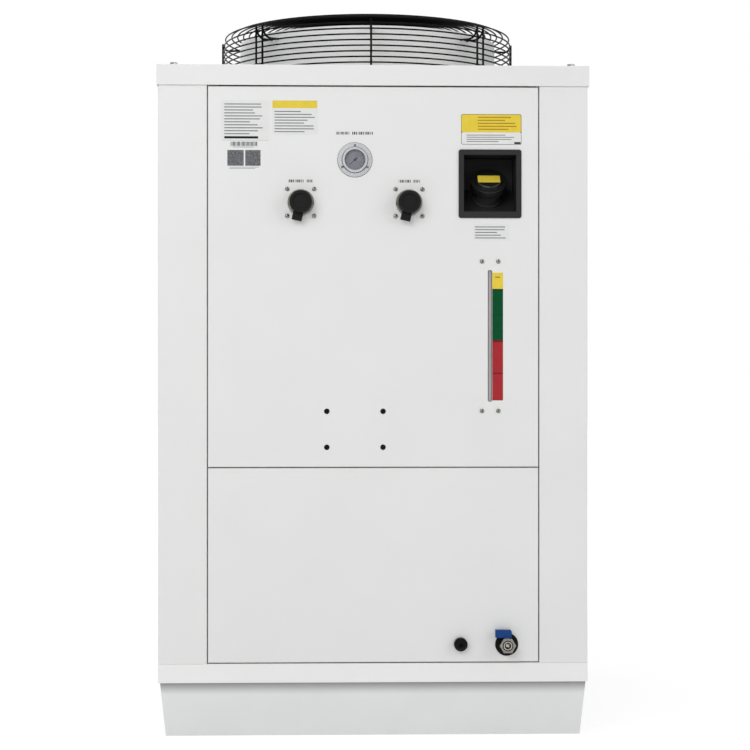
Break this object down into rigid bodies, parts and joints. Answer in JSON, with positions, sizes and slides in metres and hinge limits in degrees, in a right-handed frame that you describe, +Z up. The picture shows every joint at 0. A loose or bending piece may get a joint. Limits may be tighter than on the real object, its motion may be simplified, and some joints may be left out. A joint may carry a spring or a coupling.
{
  "type": "recirculating chiller",
  "caption": "Upright air-cooled recirculating chiller: panelled white cabinet on a plinth, wire-guarded roof fan, plugged water ports, gauge, fill recess, level slot and drain valve.",
  "frame": {"origin": "on the floor, at the middle of the overall footprint", "axes": "+Z up; -Y towards someone who faces the service face with the water ports; +X to their right"},
  "size_m": [0.77, 0.9304, 1.333],
  "materials": {
    "cabinet_paint": "satin powder coat",
    "plinth_paint": "satin powder coat",
    "duct_paint": "satin powder coat",
    "frame_steel": "zinc plated",
    "guard_paint": "satin black",
    "fan_metal": "cast",
    "blade_paint": "satin black",
    "motor_paint": "satin black",
    "coil_fins": "matt",
    "port_nickel": "satin nickel",
    "plug_plastic": "matt",
    "gauge_steel": "bright",
    "dial_face": "matt",
    "pointer_paint": "matt",
    "clear_glass": "clear",
    "recess_plastic": "matt",
    "neck_plastic": "matt",
    "cap_plastic": "matt",
    "tank_plastic": "natural",
    "channel_metal": "mill finish",
    "fitting_brass": "turned",
    "gland_plastic": "semi-gloss",
    "grommet_rubber": "matt",
    "valve_nickel": "nickel plated",
    "lever_blue": "semi-gloss",
    "water_pipe": "drawn",
    "copper_pipe": "drawn copper",
    "compressor_paint": "gloss black",
    "foot_rubber": "matt",
    "plate_steel": "pressed",
    "pump_iron": "painted",
    "pump_paint": "satin",
    "shaft_steel": "ground",
    "impeller_brass": "cast",
    "controller_plastic": "matt",
    "box_paint": "satin"
  },
  "bodies": {
    "cabinet": {"plinth": "plinth_paint", "base_tray": "cabinet_paint", "base_plate": "cabinet_paint", "corner_posts": "cabinet_paint", "cross_rails": "frame_steel", "service_upper_panel": "cabinet_paint", "service_lower_panel": "cabinet_paint", "side_panels": "cabinet_paint", "control_upper_panel": "cabinet_paint", "control_lower_panel": "cabinet_paint", "top_cover": "cabinet_paint", "fan_duct": "duct_paint", "duct_mouth": "duct_paint", "fan_guard": "guard_paint", "fan_motor": "motor_paint", "port_unions": "port_nickel", "gauge_case": "gauge_steel", "gauge_dial": "dial_face", "gauge_glass": "clear_glass", "gauge_bezel": "gauge_steel", "fill_recess": "recess_plastic", "fill_neck": "neck_plastic", "water_tank": "tank_plastic", "level_channel": "channel_metal", "level_fittings": "fitting_brass", "level_tube": "clear_glass", "cable_gland": "gland_plastic", "gland_locknut": "gland_plastic", "drain_grommet": "grommet_rubber", "valve_body": "valve_nickel", "valve_tail": "valve_nickel", "shelf": "frame_steel", "supply_pipe": "water_pipe", "return_pipe": "water_pipe", "tank_feed_pipe": "water_pipe", "suction_pipe": "water_pipe", "drain_pipe": "water_pipe", "condenser_coils": "coil_fins", "compressor": "compressor_paint", "compressor_feet": "foot_rubber", "evaporator": "plate_steel", "discharge_gas_pipe": "copper_pipe", "bridge_pipe": "copper_pipe", "liquid_pipe": "copper_pipe", "suction_gas_pipe": "copper_pipe", "pump_casing": "pump_iron", "pump_motor": "pump_paint", "controller": "controller_plastic", "electrical_box": "box_paint"},
    "fan_rotor": {"rotor_can": "fan_metal", "fan_blades": "blade_paint"},
    "pump_rotor": {"pump_shaft": "shaft_steel", "pump_impeller": "impeller_brass"},
    "drain_handle": {"valve_ball": "valve_nickel", "drain_lever": "lever_blue"},
    "pointer": {"gauge_pointer": "pointer_paint"},
    "outlet_plug_body": {"outlet_plug": "plug_plastic"},
    "inlet_plug_body": {"inlet_plug": "plug_plastic"},
    "fill_cap_body": {"fill_cap": "cap_plastic"}
  },
  "joints": [
    {"name": "fan_spin", "type": "hinge", "parent": "cabinet", "child": "fan_rotor", "pos_m": [0, 0.01, 1.258], "axis": [0, 0, 1], "continuous": true},
    {"name": "pump_spin", "type": "hinge", "parent": "cabinet", "child": "pump_rotor", "pos_m": [-0.1293, -0.32725, 0.2242], "axis": [1, 0, 0], "continuous": true},
    {"name": "drain_lever_turn", "type": "hinge", "parent": "cabinet", "child": "drain_handle", "pos_m": [0.2374, -0.44975, 0.183], "axis": [0, 0, 1], "range_deg": [0, 90]},
    {"name": "gauge_pointer_turn", "type": "hinge", "parent": "cabinet", "child": "pointer", "pos_m": [-0.033, -0.43845, 1.0248], "axis": [0, 1, 0], "range_deg": [0, 270]},
    {"name": "outlet_plug_pull", "type": "slide", "parent": "cabinet", "child": "outlet_plug_body", "axis": [0, -1, 0], "range_m": [0, 0.09]},
    {"name": "inlet_plug_pull", "type": "slide", "parent": "cabinet", "child": "inlet_plug_body", "axis": [0, -1, 0], "range_m": [0, 0.09]},
    {"name": "fill_cap_lift", "type": "slide", "parent": "cabinet", "child": "fill_cap_body", "axis": [0, -0.7071, 0.7071], "range_m": [0, 0.02]}
  ]
}
